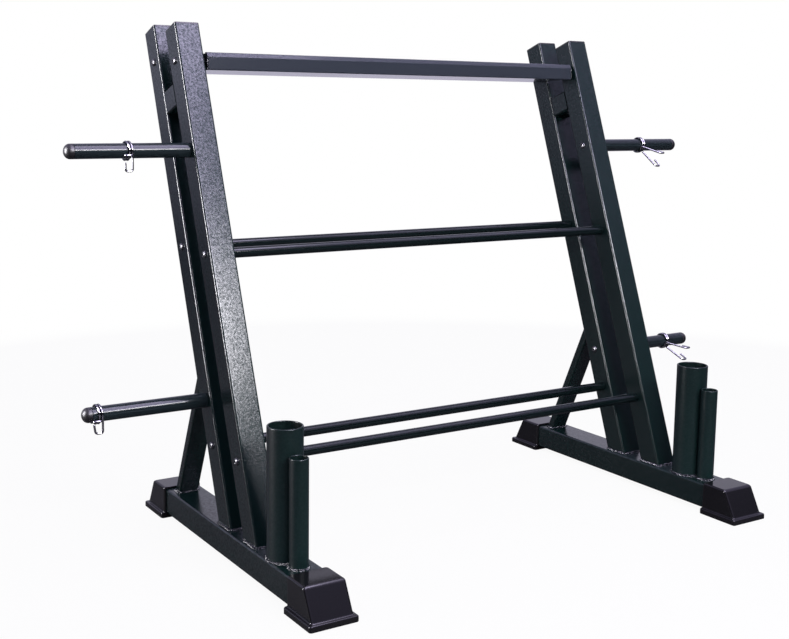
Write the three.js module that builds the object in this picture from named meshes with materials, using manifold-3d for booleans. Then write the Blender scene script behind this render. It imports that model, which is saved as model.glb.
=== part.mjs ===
// A barbell storage rack of black square tube. Two side frames lean back and carry a sheet tray, two
// pairs of round rails, four plate horns with spring collars, and two upright bar tubes at each front.
// Millimetres and degrees. X runs across the rack, Y from front to back and Z up from the floor.
import * as THREE from "three";
import { mergeVertices } from "three/addons/utils/BufferGeometryUtils.js";
import Module from "manifold-3d";

const wasm = await Module();
wasm.setup();

// Whole rack
const frameSpacing = 966;
const rackHeight = 976;
const uprightLean = 20;
const fitGap = 0.3;
const cutOverrun = 6;

// Square tube of the uprights
const tubeSize = 50;
const tubeWall = 2.5;
const tubeCorner = 4;
const innerCornerShare = 0.3;
const uprightGap = 47.5;
const capFlange = 3;
const capEdge = 0.9;
const capPlugDepth = 14;
const capWall = 2;

// Base tubes and the feet on their ends
const baseLength = 626;
const baseWidth = 70;
const baseDepth = 50;
const baseWall = 3;
const baseClearance = 9;
const footSleeve = 53;
const footWall = 4.2;
const footSkirtHeight = 11;
const footSkirtSide = 6.4;
const footToe = 33.6;
const footToeLedge = 6.5;
const footSoleEdge = 1.5;
const footEdge = 4;
const footSkirtEdge = 2.6;

// Places along the base, each counted from its neighbour
const smallTubeSetback = 12.5;
const uprightSetback = 27.4;
const braceSetback = 22.9;

// Spacer tube between the two uprights, and the rear brace
const spacerHeight = 45;
const spacerShare = 0.853;
const braceWidth = 42;
const braceDepth = 18.5;
const braceWall = 2;
const braceMeetShare = 0.319;

// Bar tubes
const largeTubeDiameter = 63;
const largeTubeWall = 3;
const largeTubeHeight = 232.5;
const smallTubeDiameter = 34;
const smallTubeWall = 2.5;
const smallTubeHeight = 189;

// Rails, tray and horns, with the height of each as a share of the rack's height
const railDiameter = 20;
const railWall = 2;
const railPlug = 22;
const middleRailShare = 0.5689;
const lowRailShare = 0.2038;
const frontRailDrop = 3.2;
const trayBoltShare = 0.9252;
const trayEndGap = 8;
const trayBushDiameter = 20;
const traySheet = 2;
const trayLip = 33.6;
const trayFlange = 12;
const traySlantRise = 8.6;
const traySlantRun = 5;
const trayFoldRadius = 2.5;
const trayTilt = 1.65;
const trayFrontReach = 21.6;
const trayRearReach = 14;
const trayBoltRise = 15.5;
const hornDiameter = 28;
const hornWall = 2;
const hornLength = 236;
const hornPlug = 22;
const hornCapLength = 16.5;
const hornCapStraight = 5;
const hornCapSpigot = 15;
const upperHornShare = 0.7572;
const lowerHornShare = 0.2859;

// Button head bolts
const boltDiameter = 8;
const boltHeadDiameter = 14;
const boltHeadHeight = 4.4;
const boltRim = 0.9;
const boltSocket = 5;
const boltSocketDepth = 2.6;
const boltBite = 16;
const nutAcrossFlats = 13;
const nutHeight = 6.5;

// Spring collars, one wire wound round the horn with a hooked tail at each end
const wireDiameter = 4;
const wirePitch = 5.2;
const tailLength = 44;
const hookWidth = 13.5;
const hookReturn = 18;
const wireBend = 5;

// Where each collar sits along its horn, which way its two tails point (forwards, outwards and down, as
// shares of the tail's length), and how long and how splayed its first hook is
const collarShares = {
  left_upper: { along: 0.5085, first: [0, 0, 0.818], last: [0.977, 0.095, -0.114], hook: 0.83, splay: 0 },
  left_lower: { along: 0.8814, first: [0, 0, 0.705], last: [0.955, 0.098, -0.273], hook: 0.86, splay: 0.15 },
  right_upper: { along: 0.517, first: [0.614, 0.386, 0.795], last: [0.955, 0.455, 0.273], hook: 1, splay: 0 },
  right_lower: { along: 0.695, first: [0.818, 0.364, 0.614], last: [1, 0.5, 0.136], hook: 1, splay: 0 },
};

// Angles in degrees at which the tails leave the coil
const collarAngles = {
  left_upper: { first: 180, last: -497 },
  left_lower: { first: 180, last: -497 },
  right_upper: { first: 233, last: -522 },
  right_lower: { first: 233, last: -527 },
};

// Facets
const roundFacets = 18;
const wideFacets = 28;
const boltFacets = 10;
const headSteps = 3;
const coilSteps = 24;
const wireSides = 6;
const bendSteps = 4;
const cornerSteps = 3;
const domeSteps = 4;

// Derived places
const half = 0.5;
const degree = Math.PI / 180;
const lean = uprightLean * degree;
const baseTop = baseClearance + baseDepth;
const baseEnd = baseLength * half;
const sleeveEnd = baseEnd - footSleeve;
const smallTubeY = -sleeveEnd + smallTubeSetback + smallTubeDiameter * half;
const largeTubeY = smallTubeY + (smallTubeDiameter + largeTubeDiameter) * half + fitGap;
const uprightRun = tubeSize * half / Math.cos(lean);
const uprightFootY = largeTubeY + largeTubeDiameter * half + uprightSetback + uprightRun;
const uprightPitch = tubeSize + uprightGap;
const uprightOffsets = { front: 0, rear: uprightPitch };
const outerFace = tubeSize * half;
const innerSpan = frameSpacing - tubeSize;
const trayHeight = rackHeight * trayBoltShare;
const middleRailHeight = rackHeight * middleRailShare;
const lowRailHeight = rackHeight * lowRailShare;
const upperHornHeight = rackHeight * upperHornShare;
const lowerHornHeight = rackHeight * lowerHornShare;
const boltHole = boltDiameter * half + fitGap;

const powderBlack = { color: 0x24252b, roughness: 0.42, metalness: 0.35 };
const plasticBlack = { color: 0x17181a, roughness: 0.5, metalness: 0 };
const boltBlack = { color: 0x2b2c30, roughness: 0.3, metalness: 0.8 };
const chrome = { color: 0xc9cbd0, roughness: 0.14, metalness: 1 };

// The solid of a closed geometry, and the geometry of a solid
function solidOf(geometry) {
  const bare = geometry.clone();
  bare.deleteAttribute("normal");
  bare.deleteAttribute("uv");
  const merged = mergeVertices(bare);
  const vertProperties = Float32Array.from(merged.attributes.position.array);
  const triVerts = Uint32Array.from(merged.index.array);
  return new wasm.Manifold(new wasm.Mesh({ numProp: 3, vertProperties, triVerts }));
}

function geometryOf(made) {
  const data = made.getMesh();
  const geometry = new THREE.BufferGeometry();
  geometry.setAttribute("position", new THREE.BufferAttribute(new Float32Array(data.vertProperties), 3));
  geometry.setIndex(new THREE.BufferAttribute(new Uint32Array(data.triVerts), 1));
  const faceted = geometry.toNonIndexed();
  faceted.computeVertexNormals();
  return faceted;
}

function piece(name, made, finish) {
  const mesh = new THREE.Mesh(geometryOf(made), new THREE.MeshStandardMaterial(finish));
  mesh.name = name;
  return mesh;
}

function put(parent, mesh, x, y, z) {
  mesh.position.set(x, y, z);
  parent.add(mesh);
  return mesh;
}

// Where the centre line of an upright stands at a height above the floor
function uprightY(offset, height) {
  return uprightFootY + offset / Math.cos(lean) + (height - baseTop) * Math.tan(lean);
}

// How far along a leaning upright a height above the floor lies
function alongUpright(offset, height) {
  return (height - baseTop + offset * Math.sin(lean)) / Math.cos(lean);
}

function roundedOutline(width, depth, corner) {
  const x = width * half - corner;
  const y = depth * half - corner;
  const shape = new THREE.Shape();
  shape.absarc(x, y, corner, 0, Math.PI * half, false);
  shape.absarc(-x, y, corner, Math.PI * half, Math.PI, false);
  shape.absarc(-x, -y, corner, Math.PI, Math.PI * (1 + half), false);
  shape.absarc(x, -y, corner, Math.PI * (1 + half), Math.PI * 2, false);
  return shape;
}

// A rectangular tube along Z from zero, with rounded corners inside and out
function rectangularTube(width, depth, wall, length) {
  const shape = roundedOutline(width, depth, tubeCorner);
  const inner = Math.max(tubeCorner - wall, tubeCorner * innerCornerShare);
  shape.holes.push(roundedOutline(width - 2 * wall, depth - 2 * wall, inner));
  return new THREE.ExtrudeGeometry(shape, { depth: length, bevelEnabled: false, curveSegments: cornerSteps });
}

// A turned solid round Z. The profile is a list of [radius, height] that runs up its outside.
function turned(profile, facets) {
  const points = profile.map(([radius, height]) => new THREE.Vector2(radius, height));
  return solidOf(new THREE.LatheGeometry(points, facets).rotateX(Math.PI * half));
}

// A round bar round Z between two heights, for holes
function rod(radius, low, high, facets) {
  return turned([[0, low], [radius, low], [radius, high], [0, high]], facets);
}

// The same solid turned from Z to X
function alongX(made) {
  return solidOf(geometryOf(made).rotateY(Math.PI * half));
}

// A solid through level rounded rectangles, each { z, x, near, far, corner }, from the lowest up
function stacked(levels) {
  const ends = [[1, 1], [-1, 1], [-1, -1], [1, -1]];
  const positions = [];
  for (const level of levels) {
    const middle = (level.near + level.far) * half;
    const reach = (level.far - level.near) * half - level.corner;
    ends.forEach(([sideX, sideY], quarter) => {
      for (let step = 0; step <= cornerSteps; step++) {
        const angle = (quarter + step / cornerSteps) * Math.PI * half;
        const x = sideX * (level.x - level.corner) + level.corner * Math.cos(angle);
        const y = middle + sideY * reach + level.corner * Math.sin(angle);
        positions.push(x, y, level.z);
      }
    });
  }
  const count = ends.length * (cornerSteps + 1);
  const faces = [];
  for (let row = 0; row + 1 < levels.length; row++) {
    for (let i = 0; i < count; i++) {
      const a = row * count + i;
      const b = row * count + (i + 1) % count;
      faces.push(a, b, b + count, a, b + count, a + count);
    }
  }
  const top = (levels.length - 1) * count;
  for (let i = 1; i + 1 < count; i++) {
    faces.push(0, i + 1, i);
    faces.push(top, top + i, top + i + 1);
  }
  const geometry = new THREE.BufferGeometry();
  geometry.setAttribute("position", new THREE.BufferAttribute(new Float32Array(positions), 3));
  geometry.setIndex(faces);
  return solidOf(geometry);
}

// A block that removes all that lies below a level plane, given in a leaning tube's own frame
function belowLevel(angle, level) {
  const reach = rackHeight;
  const block = new THREE.BoxGeometry(reach, reach, reach).translate(0, 0, level - reach * half);
  return solidOf(block.rotateX(angle));
}

// Base tube, lying along Y
function baseTube() {
  const tube = rectangularTube(baseWidth, baseDepth, baseWall, baseLength);
  return solidOf(tube.translate(0, 0, -baseEnd).rotateX(Math.PI * half));
}

// Moulded foot, with Y running outwards from the mouth of its sleeve
function foot() {
  const top = baseTop + fitGap + footWall;
  const sleeveX = baseWidth * half + fitGap + footWall;
  const sleeveFar = footSleeve + fitGap + footWall;
  const skirtX = sleeveX + footSkirtSide;
  const skirtFar = sleeveFar + footToe;
  const wallFar = skirtFar - footToeLedge;
  const rise = (height) => (height - footSkirtHeight) / (top - footSkirtHeight);
  const farAt = (height) => wallFar + (sleeveFar - wallFar) * rise(height);
  const level = (z, x, far, inset) => ({ z, x: x - inset, near: inset, far: far - inset, corner: footEdge });
  const turn = 1 - Math.SQRT1_2;
  const skirtTurn = footSkirtHeight - footSkirtEdge * turn;
  const topTurn = top - footEdge * turn;
  const body = stacked([
    { ...level(0, skirtX, skirtFar, footSoleEdge), near: 0 },
    { ...level(footSoleEdge, skirtX, skirtFar, 0), near: 0 },
    { ...level(footSkirtHeight - footSkirtEdge, skirtX, skirtFar, 0), near: 0 },
    { ...level(skirtTurn, skirtX, skirtFar, footSkirtEdge * turn), near: 0 },
    { ...level(footSkirtHeight, skirtX, skirtFar, footSkirtEdge), near: 0 },
    { ...level(footSkirtHeight, sleeveX, wallFar, 0), near: 0 },
    level(top - footEdge, sleeveX, farAt(top - footEdge), 0),
    level(topTurn, sleeveX, farAt(topTurn), footEdge * turn),
    level(top, sleeveX, sleeveFar, footEdge),
  ]);
  const pocketWidth = baseWidth + 2 * fitGap;
  const pocketHeight = baseDepth + 2 * fitGap;
  const pocketLength = footSleeve + fitGap + cutOverrun;
  const pocket = new THREE.BoxGeometry(pocketWidth, pocketLength, pocketHeight);
  pocket.translate(0, pocketLength * half - cutOverrun, baseClearance + baseDepth * half);
  return body.subtract(solidOf(pocket));
}

// Leaning upright: square tube, level at its foot, with bolt holes at the given heights
function upright(offset, tubeEnd, heights) {
  const start = -2 * tubeSize;
  const tube = rectangularTube(tubeSize, tubeSize, tubeWall, tubeEnd - start).translate(0, offset, start);
  let made = solidOf(tube).subtract(belowLevel(lean, fitGap));
  for (const height of heights) {
    const reach = outerFace + cutOverrun;
    const hole = alongX(rod(boltHole, -reach, reach, boltFacets));
    made = made.subtract(hole.translate([0, offset, alongUpright(offset, height)]));
  }
  return made;
}

// Square plastic cap: a flange with a rounded rim and a hollow plug below it
function uprightCap() {
  const edge = tubeSize * half;
  const level = (z, inset) => ({ z, x: edge - inset, near: inset - edge, far: edge - inset, corner: tubeCorner });
  const plugHalf = edge - tubeWall - fitGap;
  const flange = stacked([level(0, 0), level(capFlange - capEdge, 0), level(capFlange, capEdge)]);
  const inner = Math.max(tubeCorner - tubeWall, tubeCorner * innerCornerShare);
  const outline = roundedOutline(2 * plugHalf, 2 * plugHalf, inner);
  outline.holes.push(roundedOutline(2 * (plugHalf - capWall), 2 * (plugHalf - capWall), inner * half));
  const depth = capPlugDepth + capFlange * half;
  const settings = { depth, bevelEnabled: false, curveSegments: cornerSteps };
  const plug = new THREE.ExtrudeGeometry(outline, settings).translate(0, 0, -capPlugDepth);
  return flange.add(solidOf(plug));
}

// Spacer tube between the uprights, across their gap
function spacerTube() {
  const length = uprightGap - 2 * fitGap;
  const tube = rectangularTube(tubeSize, spacerHeight, tubeWall, length);
  return solidOf(tube.translate(0, 0, -length * half).rotateX(Math.PI * half));
}

// Rear brace, from the base up to the back of the rear upright
function brace(footY, angle, length) {
  const start = -2 * tubeSize;
  const tube = rectangularTube(braceWidth, braceDepth, braceWall, length + 4 * tubeSize);
  tube.translate(0, 0, start);
  const trimmed = solidOf(tube.rotateX(angle)).subtract(belowLevel(0, fitGap));
  const reach = rackHeight;
  const front = new THREE.BoxGeometry(reach, reach, 2 * reach);
  const back = uprightPitch + tubeSize * half + fitGap;
  front.translate(0, back - reach * half, 0).rotateX(-lean).translate(0, uprightFootY - footY, 0);
  return trimmed.subtract(solidOf(front));
}

// Upright bar tube with a rounded rim
function barTube(diameter, wall, height, facets) {
  const outer = diameter * half;
  const rim = wall * half;
  const profile = [[outer, 0]];
  for (let step = 0; step <= cornerSteps; step++) {
    const angle = step / cornerSteps * Math.PI;
    profile.push([outer - rim + rim * Math.cos(angle), height - rim + rim * Math.sin(angle)]);
  }
  profile.push([outer - wall, 0], [outer, 0]);
  return turned(profile, facets);
}

// Rail tube with a tapped plug in each end
function rail(length) {
  const outer = railDiameter * half;
  const bore = outer - railWall;
  return turned([
    [outer, 0], [outer, length], [boltHole, length], [boltHole, length - railPlug],
    [bore, length - railPlug], [bore, railPlug], [boltHole, railPlug], [boltHole, 0], [outer, 0],
  ], roundFacets);
}

// Plate horn: a tube with a tapped plug in its inner end, open at its outer end for the cap
function horn(length) {
  const outer = hornDiameter * half;
  const bore = outer - hornWall;
  return turned([
    [outer, 0], [outer, length], [bore, length], [bore, hornPlug], [boltHole, hornPlug], [boltHole, 0], [outer, 0],
  ], roundFacets);
}

// Domed cap for the end of a horn
function hornCap() {
  const outer = hornDiameter * half;
  const spigot = outer - hornWall - fitGap;
  const dome = hornCapLength - hornCapStraight;
  const profile = [[0, -hornCapSpigot], [spigot, -hornCapSpigot], [spigot, 0], [outer, 0]];
  for (let step = 0; step <= domeSteps; step++) {
    const angle = step / domeSteps * Math.PI * half;
    profile.push([outer * Math.cos(angle), hornCapStraight + dome * Math.sin(angle)]);
  }
  profile[profile.length - 1][0] = 0;
  return turned(profile, roundFacets);
}

// Button head bolt with a hexagon socket, its head above zero and its shank below
function bolt(shank) {
  const head = boltHeadDiameter * half;
  const dome = boltHeadHeight - boltRim;
  const profile = [[0, -shank], [boltDiameter * half, -shank], [boltDiameter * half, 0], [head, 0]];
  for (let step = 0; step <= headSteps; step++) {
    const angle = step / headSteps * Math.PI * half;
    profile.push([head * Math.cos(angle), boltRim + dome * Math.sin(angle)]);
  }
  profile[profile.length - 1][0] = 0;
  const socket = rod(boltSocket / Math.sqrt(3), boltHeadHeight - boltSocketDepth, boltHeadHeight + cutOverrun, 6);
  return turned(profile, boltFacets).subtract(socket);
}

// Bush between a tray end and an upright
function trayBush() {
  const length = trayEndGap - 2 * fitGap;
  const outer = trayBushDiameter * half;
  return turned([[outer, 0], [outer, length], [boltHole, length], [boltHole, 0], [outer, 0]], roundFacets);
}

// One side of the tray's folded section, as points from the flange down to the middle of the floor
function lipPoints(depth, inset) {
  const line = new THREE.Path();
  const slant = Math.hypot(traySlantRun, traySlantRise);
  const top = trayLip - inset;
  const foot = trayLip - traySlantRise;
  line.moveTo(trayFlange, top);
  line.lineTo(traySlantRun + inset * (slant - traySlantRun) / traySlantRise, top);
  line.lineTo(inset, foot - inset * (slant - traySlantRise) / traySlantRun);
  line.absarc(trayFoldRadius, trayFoldRadius, trayFoldRadius - inset, Math.PI, Math.PI * (1 + half), false);
  line.lineTo(depth * half, inset);
  return line.getPoints(cornerSteps);
}

// Sheet tray with folded lips, closed ends and a weld nut behind each bolt hole. It lies along X, its
// front lower edge on the X axis.
function tray(length, depth, boltPlaces) {
  const mirrored = (points) => points.map((p) => new THREE.Vector2(depth - p.x, p.y)).reverse();
  const outside = lipPoints(depth, 0);
  const inside = lipPoints(depth, traySheet);
  const around = [...outside, ...mirrored(outside).slice(1)];
  const back = [...inside, ...mirrored(inside).slice(1)].reverse();
  const standUp = (geometry, x) => solidOf(geometry.rotateX(Math.PI * half).rotateZ(Math.PI * half).translate(x, 0, 0));
  const settings = (thickness) => ({ depth: thickness, bevelEnabled: false });
  const section = new THREE.Shape([...around, ...back]);
  let made = standUp(new THREE.ExtrudeGeometry(section, settings(length)), -length * half);
  for (const side of [-1, 1]) {
    const start = side < 0 ? -length * half : length * half - traySheet;
    made = made.add(standUp(new THREE.ExtrudeGeometry(new THREE.Shape(around), settings(traySheet)), start));
  }
  for (const side of [-1, 1]) {
    for (const [y, z] of boltPlaces) {
      const inner = length * half - traySheet - nutHeight;
      const nut = alongX(rod(nutAcrossFlats / Math.sqrt(3), inner, length * half - traySheet * half, 6));
      const hole = alongX(rod(boltHole, inner - cutOverrun, length * half + cutOverrun, boltFacets));
      const facing = (made) => side < 0 ? made.mirror([1, 0, 0]) : made;
      made = made.add(facing(nut).translate([0, y, z])).subtract(facing(hole).translate([0, y, z]));
    }
  }
  return made;
}

// Points that round off the corner between two stretches of wire
function bendPoints(from, corner, to) {
  const reachIn = Math.min(wireBend, from.distanceTo(corner));
  const start = corner.clone().lerp(from, reachIn / from.distanceTo(corner));
  const end = corner.clone().lerp(to, wireBend / to.distanceTo(corner));
  return new THREE.QuadraticBezierCurve3(start, corner, end).getPoints(bendSteps);
}

// The middle line of a spring collar round X. Its coil runs from the +X end to the -X end, and a tail leaves
// each end along the coil's tangent, bends into its own direction and ends in a hook.
function collarLine(outward, leave, shares) {
  const coilRadius = (hornDiameter * half + fitGap + wireDiameter * half) / Math.cos(Math.PI / coilSteps);
  const sweep = leave.first - leave.last;
  const width = wirePitch * sweep / 360;
  const onCoil = (angle) => {
    const x = width * (half - (leave.first - angle) / sweep);
    const y = coilRadius * Math.cos(angle * degree);
    const z = coilRadius * Math.sin(angle * degree);
    return new THREE.Vector3(x, y, z);
  };
  const steps = Math.ceil(sweep / 360 * coilSteps);
  const coil = Array.from({ length: steps + 1 }, (_, step) => onCoil(leave.first - sweep * step / steps));
  const tail = (angle, inwards, [forwardShare, outwardShare, dropShare]) => {
    const start = onCoil(angle);
    const tangent = start.clone().sub(onCoil(angle + inwards)).normalize();
    const way = new THREE.Vector3(outward * outwardShare, -forwardShare, -dropShare).multiplyScalar(tailLength);
    const turn = start.clone().add(way);
    const bend = start.clone().addScaledVector(tangent, wireBend * half);
    const far = turn.clone();
    far.x += outward * hookWidth;
    const back = way.clone().normalize().negate();
    back.x += outward * shares.splay;
    const end = far.clone().addScaledVector(back.normalize(), hookReturn * shares.hook);
    const leaving = new THREE.QuadraticBezierCurve3(start, bend, bend.clone().lerp(turn, wireBend / tailLength));
    const bent = leaving.getPoints(bendSteps).slice(1);
    return [...bent, ...bendPoints(bend, turn, far), ...bendPoints(turn, far, end), end];
  };
  const first = tail(leave.first, -1, shares.first).reverse();
  return [...first, ...coil, ...tail(leave.last, 1, shares.last)];
}

// The least distance between the surfaces of one wire's stretches that lie apart along it
function leastGap(line) {
  const travelled = [0];
  for (let i = 1; i < line.length; i++) {
    travelled.push(travelled[i - 1] + line[i].distanceTo(line[i - 1]));
  }
  let least = Infinity;
  for (let i = 0; i < line.length; i++) {
    for (let j = i + 1; j + 1 < line.length; j++) {
      if (travelled[j] - travelled[i] > wireDiameter * Math.PI) {
        const near = new THREE.Line3(line[j], line[j + 1]).closestPointToPoint(line[i], true, new THREE.Vector3());
        least = Math.min(least, near.distanceTo(line[i]) - wireDiameter);
      }
    }
  }
  return least;
}

// A round wire along a line of points, with its section carried along without twist
function wire(line) {
  const positions = [];
  const faces = [];
  let across = new THREE.Vector3(1, 0, 0);
  line.forEach((point, i) => {
    const before = line[Math.max(i - 1, 0)];
    const after = line[Math.min(i + 1, line.length - 1)];
    const along = after.clone().sub(before).normalize();
    if (i === 0 && Math.abs(along.x) > Math.SQRT1_2) {
      across.set(0, 1, 0);
    }
    across = across.addScaledVector(along, -across.dot(along)).normalize();
    const up = along.clone().cross(across);
    for (let side = 0; side < wireSides; side++) {
      const angle = side / wireSides * Math.PI * 2;
      const spot = point.clone();
      spot.addScaledVector(across, wireDiameter * half * Math.cos(angle));
      spot.addScaledVector(up, wireDiameter * half * Math.sin(angle));
      positions.push(spot.x, spot.y, spot.z);
    }
  });
  for (let i = 0; i + 1 < line.length; i++) {
    for (let side = 0; side < wireSides; side++) {
      const a = i * wireSides + side;
      const b = i * wireSides + (side + 1) % wireSides;
      faces.push(a, b, b + wireSides, a, b + wireSides, a + wireSides);
    }
  }
  const last = (line.length - 1) * wireSides;
  for (let side = 1; side + 1 < wireSides; side++) {
    faces.push(0, side + 1, side);
    faces.push(last, last + side, last + side + 1);
  }
  const geometry = new THREE.BufferGeometry();
  geometry.setAttribute("position", new THREE.BufferAttribute(new Float32Array(positions), 3));
  geometry.setIndex(faces);
  return solidOf(geometry);
}

// Heights of the three bolts in an upright. The front rails sit a little lower than the rear ones.
function boltLevels(place) {
  const drop = place === "front" ? frontRailDrop : 0;
  return { top: trayHeight, middle: middleRailHeight - drop, low: lowRailHeight - drop };
}

const rack = new THREE.Group();

// The origin stands on the floor in the middle of the rack's length and depth
const sleeveTip = baseEnd + fitGap + footWall;
const frontReach = sleeveTip + footToe;
const topCorner = uprightPitch + tubeSize * half;
const rearTubeTop = alongUpright(uprightPitch - tubeSize * half, rackHeight);
const rearReach = uprightFootY + topCorner * Math.cos(lean) + rearTubeTop * Math.sin(lean);
rack.position.y = (frontReach - Math.max(rearReach, frontReach)) * half;

for (const [sideName, side] of [["left", -1], ["right", 1]]) {
  const frame = new THREE.Group();
  frame.position.x = side * frameSpacing * half;
  rack.add(frame);
  const outwards = side < 0 ? Math.PI : 0;

  put(frame, piece(`${sideName}_base_tube`, baseTube(), powderBlack), 0, 0, baseClearance + baseDepth * half);
  for (const [endName, end] of [["front", -1], ["rear", 1]]) {
    const mesh = put(frame, piece(`${sideName}_${endName}_foot`, foot(), plasticBlack), 0, end * sleeveEnd, 0);
    mesh.rotation.z = end < 0 ? Math.PI : 0;
  }

  const leaning = new THREE.Group();
  leaning.position.set(0, uprightFootY, baseTop);
  leaning.rotation.x = -lean;
  frame.add(leaning);
  const hornHeights = { front: upperHornHeight, rear: lowerHornHeight };
  for (const [place, offset] of Object.entries(uprightOffsets)) {
    const end = alongUpright(offset - tubeSize * half, rackHeight) - capFlange - fitGap;
    const heights = [...Object.values(boltLevels(place)), hornHeights[place]];
    const post = upright(offset, end, heights);
    leaning.add(piece(`${sideName}_${place}_upright`, post, powderBlack));
    const cap = piece(`${sideName}_${place}_upright_cap`, uprightCap(), plasticBlack);
    put(leaning, cap, 0, offset, end + fitGap);
  }
  const spacerAlong = alongUpright(uprightPitch * half, rackHeight * spacerShare);
  const spacer = piece(`${sideName}_upright_spacer`, spacerTube(), powderBlack);
  put(leaning, spacer, 0, uprightPitch * half, spacerAlong);

  const braceFootY = sleeveEnd - braceSetback;
  const meetHeight = rackHeight * braceMeetShare;
  const meetY = uprightY(uprightPitch, meetHeight) + uprightRun;
  const braceRise = meetHeight - baseTop;
  const braceAngle = Math.atan2(braceFootY - meetY, braceRise);
  const braceLength = Math.hypot(braceFootY - meetY, braceRise);
  const strut = brace(braceFootY, braceAngle, braceLength);
  put(frame, piece(`${sideName}_rear_brace`, strut, powderBlack), 0, braceFootY, baseTop);

  const large = barTube(largeTubeDiameter, largeTubeWall, largeTubeHeight, wideFacets);
  put(frame, piece(`${sideName}_large_bar_tube`, large, powderBlack), 0, largeTubeY, baseTop + fitGap);
  const small = barTube(smallTubeDiameter, smallTubeWall, smallTubeHeight, roundFacets);
  put(frame, piece(`${sideName}_small_bar_tube`, small, powderBlack), 0, smallTubeY, baseTop + fitGap);

  for (const [place, offset] of Object.entries(uprightOffsets)) {
    for (const [level, height] of Object.entries(boltLevels(place))) {
      const throughTray = trayEndGap + traySheet + nutHeight;
      const grip = level === "top" ? throughTray : fitGap + boltBite;
      const shank = alongX(bolt(tubeSize + fitGap + grip));
      const mesh = piece(`${sideName}_${place}_${level}_bolt`, shank, boltBlack);
      put(frame, mesh, side * (outerFace + fitGap), uprightY(offset, height), height);
      mesh.rotation.z = outwards;
    }
    const bush = piece(`${sideName}_${place}_tray_bush`, alongX(trayBush()), plasticBlack);
    put(frame, bush, -side * (outerFace + fitGap), uprightY(offset, trayHeight), trayHeight);
    bush.rotation.z = Math.PI - outwards;
  }

  for (const [tier, place] of [["upper", "front"], ["lower", "rear"]]) {
    const height = hornHeights[place];
    const y = uprightY(uprightOffsets[place], height);
    const hornTube = hornLength - hornCapLength - 2 * fitGap;
    const arm = piece(`${sideName}_${tier}_horn`, alongX(horn(hornTube)), powderBlack);
    put(frame, arm, side * (outerFace + fitGap), y, height).rotation.z = outwards;
    const cap = piece(`${sideName}_${tier}_horn_cap`, alongX(hornCap()), plasticBlack);
    put(frame, cap, side * (outerFace + hornLength - hornCapLength), y, height).rotation.z = outwards;
    const shank = alongX(bolt(tubeSize + 2 * fitGap + boltBite));
    const fixing = piece(`${sideName}_${tier}_horn_bolt`, shank, boltBlack);
    put(frame, fixing, -side * (outerFace + fitGap), y, height).rotation.z = Math.PI - outwards;

    const name = `${sideName}_${tier}`;
    const line = collarLine(side, collarAngles[name], collarShares[name]);
    console.log(`${name} collar: least gap of its wire to itself ${leastGap(line).toFixed(2)} mm`);
    const clip = piece(`${name}_spring_collar`, wire(line), chrome);
    put(frame, clip, side * (outerFace + hornLength * collarShares[name].along), y, height);
  }
}

// Round rails between the side frames, a pair at each level
for (const level of ["middle", "low"]) {
  for (const [place, offset] of Object.entries(uprightOffsets)) {
    const height = boltLevels(place)[level];
    const length = innerSpan - 2 * fitGap;
    const mesh = piece(`${level}_${place}_rail`, alongX(rail(length)), powderBlack);
    put(rack, mesh, -length * half, uprightY(offset, height), height);
  }
}

// Tray across the top, tipped back a little about its front lower edge
const tilt = trayTilt * degree;
const trayGroup = new THREE.Group();
trayGroup.position.y = uprightY(0, trayHeight) - trayFrontReach;
trayGroup.position.z = trayHeight - trayBoltRise;
trayGroup.rotation.x = -tilt;
rack.add(trayGroup);
const trayBolts = Object.values(uprightOffsets).map((offset) => {
  const y = uprightY(offset, trayHeight) - trayGroup.position.y;
  return [y * Math.cos(tilt) - trayBoltRise * Math.sin(tilt), y * Math.sin(tilt) + trayBoltRise * Math.cos(tilt)];
});
const trayDepth = trayBolts[1][0] + trayRearReach;
const trayLength = innerSpan - 2 * trayEndGap;
trayGroup.add(piece("top_tray", tray(trayLength, trayDepth, trayBolts), powderBlack));

export default rack;
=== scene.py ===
"""A barbell storage rack in black powder coat, with moulded feet and caps and chromed spring collars.

Lengths are in millimetres and are turned into metres where a mesh is made. Only those of the floor and the
lamps are in metres. X runs across the rack, Y from front to back and Z up. Places come from the boxes of the
frame's nodes.
"""

import math

import bpy
from mathutils import Matrix, Vector


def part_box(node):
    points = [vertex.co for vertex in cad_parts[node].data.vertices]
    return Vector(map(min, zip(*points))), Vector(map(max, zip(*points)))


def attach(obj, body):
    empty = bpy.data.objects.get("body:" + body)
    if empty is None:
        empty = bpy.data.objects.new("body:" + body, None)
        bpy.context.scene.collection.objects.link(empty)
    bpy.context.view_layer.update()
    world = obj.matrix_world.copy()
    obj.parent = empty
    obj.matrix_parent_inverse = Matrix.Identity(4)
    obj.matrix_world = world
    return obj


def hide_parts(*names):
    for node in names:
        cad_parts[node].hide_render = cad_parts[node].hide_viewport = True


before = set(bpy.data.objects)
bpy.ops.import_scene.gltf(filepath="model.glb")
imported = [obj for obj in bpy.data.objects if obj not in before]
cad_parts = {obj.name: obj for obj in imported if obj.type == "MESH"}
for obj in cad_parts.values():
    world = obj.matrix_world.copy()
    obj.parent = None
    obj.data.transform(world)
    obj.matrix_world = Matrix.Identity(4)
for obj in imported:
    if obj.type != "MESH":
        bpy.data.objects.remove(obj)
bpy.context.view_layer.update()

MM = 0.001
TAU = math.tau
QUARTER = math.pi / 2

# Lean of the uprights, and the gap that touching pieces keep
LEAN = math.radians(20)
FIT_GAP = 0.3

# Square and box section tube
TUBE_WALL = 2.5
BRACE_DEPTH = 18.5
BRACE_WALL = 2.0
TUBE_CORNER = 4.0
TUBE_INNER_CORNER = 1.6
BASE_WALL = 3.0
CORNER_STEPS = 8
LOOP_POINTS = 4 * (CORNER_STEPS + 1)

# Facets of round pieces, and the angle above which an edge stays sharp
FINE_ROUND = 64
SMALL_ROUND = 48
SHARP_ANGLE = math.radians(38)

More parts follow.
